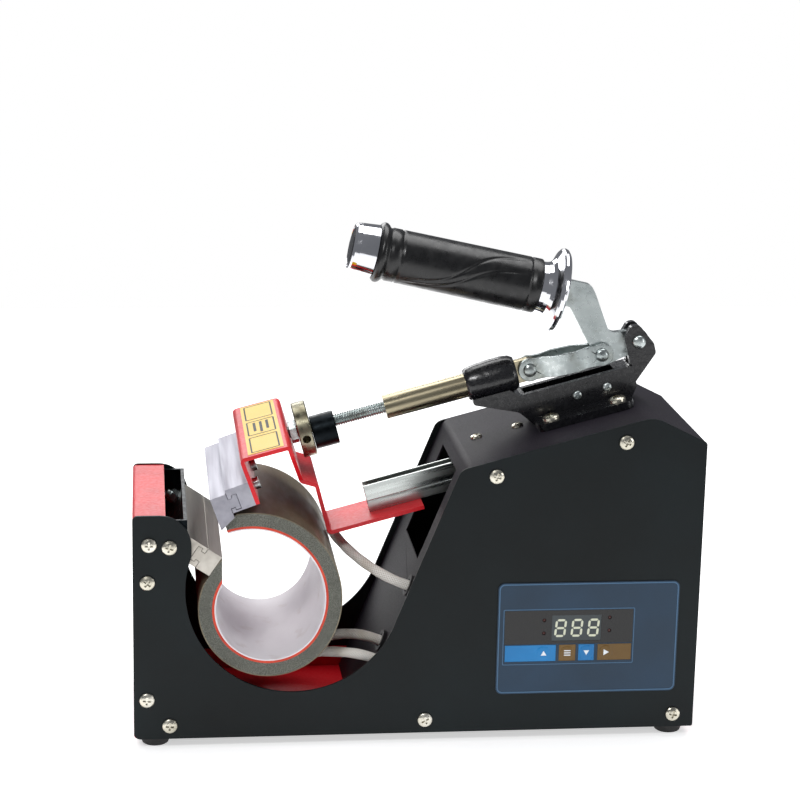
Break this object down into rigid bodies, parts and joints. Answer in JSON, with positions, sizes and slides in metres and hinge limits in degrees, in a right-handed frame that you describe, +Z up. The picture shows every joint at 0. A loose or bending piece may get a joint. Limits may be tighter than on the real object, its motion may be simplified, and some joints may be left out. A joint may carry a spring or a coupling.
{
  "type": "mug heat press",
  "caption": "Bench heat press for mugs: round cradle with a wrap-round heater closed by an over-centre push-pull clamp with a rubber grip, and a control panel.",
  "frame": {"origin": "bottom centre of the whole press, on the surface that its feet stand on", "axes": "+X along the body from the column to the tall housing, +Y to the back (the control panel faces -Y), +Z up"},
  "size_m": [0.43, 0.1528, 0.39],
  "materials": {
    "black_paint": "fine textured semi-gloss powder coat",
    "cover_paint": "fine textured matt powder coat",
    "red_paint": "gloss powder coat",
    "cast_black": "gloss black over cast metal",
    "nickel_screw": "nickel plated",
    "zinc_steel": "zinc plated",
    "plunger_steel": "nickel plated, lightly stained",
    "bar_aluminium": "mill finish",
    "aged_aluminium": "mill finish, greyed",
    "rail_aluminium": "mill finish",
    "polished_alloy": "polished",
    "grip_rubber": "satin",
    "foot_rubber": "matt",
    "cap_plastic": "gloss",
    "panel_film": "satin printed film",
    "window_film": "gloss",
    "display": "satin",
    "led": "clear",
    "key_blue": "satin film",
    "key_brown": "satin film",
    "label_film": "satin film",
    "sponge": "open-cell silicone sponge",
    "jacket_steel": "olive-grey coated sheet",
    "silicone_mat": "satin",
    "liner_cloth": "smooth glass cloth",
    "lead_sleeve": "braided glass sleeve",
    "black_plastic": "fine textured",
    "board_green": "satin",
    "brass": "plain",
    "core_steel": "varnished laminations",
    "heatsink": "anodised",
    "terminal_plastic": "plain",
    "rocker_red": "gloss",
    "disc_steel": "turned, lightly stained",
    "black_oxide": "black oxide"
  },
  "bodies": {
    "frame": {"base_pan": "red_paint", "front_side_plate": "black_paint", "rear_side_plate": "black_paint", "top_cover": "cover_paint", "side_screws": "nickel_screw", "feet": "foot_rubber", "foot_screws": "zinc_steel", "column_bracket": "black_oxide", "fixed_rail_bar": "aged_aluminium", "fixed_end_bar": "aged_aluminium", "fixed_bar_bolts": "zinc_steel", "heater_liner": "liner_cloth", "heater_mat": "silicone_mat", "heater_sponge": "sponge", "heater_jacket": "jacket_steel", "heater_leads": "lead_sleeve", "lead_grommets": "black_plastic", "rail_guide": "black_oxide", "guide_screws": "nickel_screw", "backing_plate": "zinc_steel", "clamp_body": "cast_black", "clamp_bolts": "nickel_screw", "clamp_set_screws": "zinc_steel", "handle_pin": "zinc_steel", "control_panel": "panel_film", "display_window": "window_film", "digit_display": "display", "indicator_leds": "led", "control_board": "board_green", "board_standoffs": "brass", "transformer": "core_steel", "power_relay": "heatsink", "terminal_block": "terminal_plastic", "power_inlet": "black_plastic", "switch_frame": "black_plastic"},
    "lever": {"lever_plate": "zinc_steel", "handle_tube": "zinc_steel", "grip_flange": "polished_alloy", "grip_sleeve": "grip_rubber", "grip_end_cap": "polished_alloy", "end_cap_plug": "cap_plastic"},
    "link": {"link_plates": "zinc_steel", "link_rivets": "zinc_steel"},
    "plunger": {"plunger": "plunger_steel"},
    "carriage": {"carriage_bracket": "red_paint", "slide_rail": "rail_aluminium", "rail_screws": "zinc_steel", "moving_rail_bar": "bar_aluminium", "moving_end_bar": "bar_aluminium", "moving_bar_bolts": "zinc_steel", "carriage_label": "label_film"},
    "adjuster": {"adjusting_rod": "zinc_steel", "lock_nuts": "zinc_steel", "adjuster_disc": "disc_steel", "lock_collar": "black_oxide"},
    "up_key": {"button_up": "key_blue"},
    "set_key": {"button_set": "key_brown"},
    "down_key": {"button_down": "key_blue"},
    "start_key": {"button_start": "key_brown"},
    "rocker": {"power_switch": "rocker_red"}
  },
  "joints": [
    {"name": "handle_pivot", "type": "hinge", "parent": "frame", "child": "lever", "pos_m": [0.17337, 0, 0.29916], "axis": [0, 1, 0], "range_deg": [0, 100]},
    {"name": "link_pivot", "type": "hinge", "parent": "lever", "child": "link", "pos_m": [0.1456, 0, 0.28833], "axis": [0, 1, 0], "range_deg": [-135.05, 0]},
    {"name": "plunger_slide", "type": "slide", "parent": "frame", "child": "plunger", "axis": [0.9655, 0, 0.2605], "range_m": [0, 0.04005], "deforming": ["heater_liner", "heater_mat", "heater_sponge", "heater_jacket", "heater_leads"]},
    {"name": "pressure_adjust", "type": "slide", "parent": "plunger", "child": "carriage", "axis": [0.9655, 0, 0.2605], "range_m": [-0.003, 0.003]},
    {"name": "adjuster_spin", "type": "hinge", "parent": "carriage", "child": "adjuster", "pos_m": [-0.05964, 0, 0.23629], "axis": [0.9655, 0, 0.2605], "range_deg": [-720, 720]},
    {"name": "up_press", "type": "slide", "parent": "frame", "child": "up_key", "axis": [0, 1, 0], "range_m": [0, 0.0008], "stiffness_N_per_m": 600},
    {"name": "set_press", "type": "slide", "parent": "frame", "child": "set_key", "axis": [0, 1, 0], "range_m": [0, 0.0008], "stiffness_N_per_m": 600},
    {"name": "down_press", "type": "slide", "parent": "frame", "child": "down_key", "axis": [0, 1, 0], "range_m": [0, 0.0008], "stiffness_N_per_m": 600},
    {"name": "start_press", "type": "slide", "parent": "frame", "child": "start_key", "axis": [0, 1, 0], "range_m": [0, 0.0008], "stiffness_N_per_m": 600},
    {"name": "rocker_tilt", "type": "hinge", "parent": "frame", "child": "rocker", "pos_m": [0.175, 0.0695, 0.086], "axis": [0, 0, 1], "range_deg": [0, 16]}
  ],
  "couplings": [
    {"joint": "link_pivot", "follows": "handle_pivot", "ratio": -1.3455},
    {"joint": "plunger_slide", "follows": "handle_pivot", "m_per_rad": 0.02283},
    {"joint": "pressure_adjust", "follows": "adjuster_spin", "m_per_rad": 0.00023873}
  ]
}
